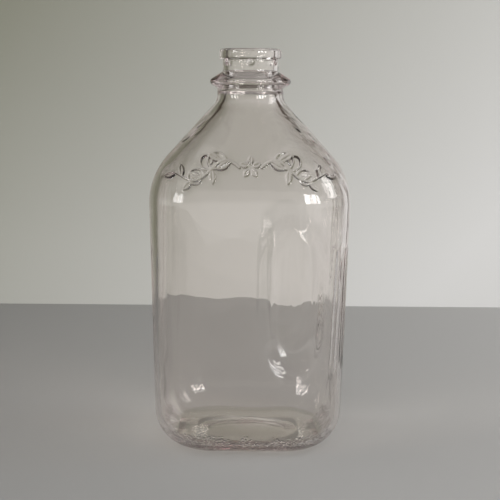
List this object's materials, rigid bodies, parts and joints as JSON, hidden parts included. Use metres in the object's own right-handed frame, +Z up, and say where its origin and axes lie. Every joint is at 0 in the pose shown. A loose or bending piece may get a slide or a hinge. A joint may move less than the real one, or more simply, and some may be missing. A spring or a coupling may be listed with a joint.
{
  "type": "glass milk bottle",
  "caption": "Square-bodied clear glass milk bottle with rounded shoulders, a ringed round neck, a beaded press-cap mouth and fluted hand-grip recesses down one side.",
  "frame": {"origin": "centre of the base, on the plane of the ring that the bottle stands on", "axes": "+Z up along the neck's axis, -Y out of the front face, +X out of the fluted hand-grip side"},
  "size_m": [0.1204, 0.1204, 0.242],
  "materials": {
    "clear_glass": "clear moulded glass with a faint warm pink tint, smooth, slightly wavy inside"
  },
  "bodies": {
    "root": {"cap_bead": "clear_glass", "collar": "clear_glass", "neck_ring": "clear_glass", "neck": "clear_glass", "shoulder": "clear_glass", "body": "clear_glass", "heel": "clear_glass", "base": "clear_glass"}
  },
  "joints": []
}
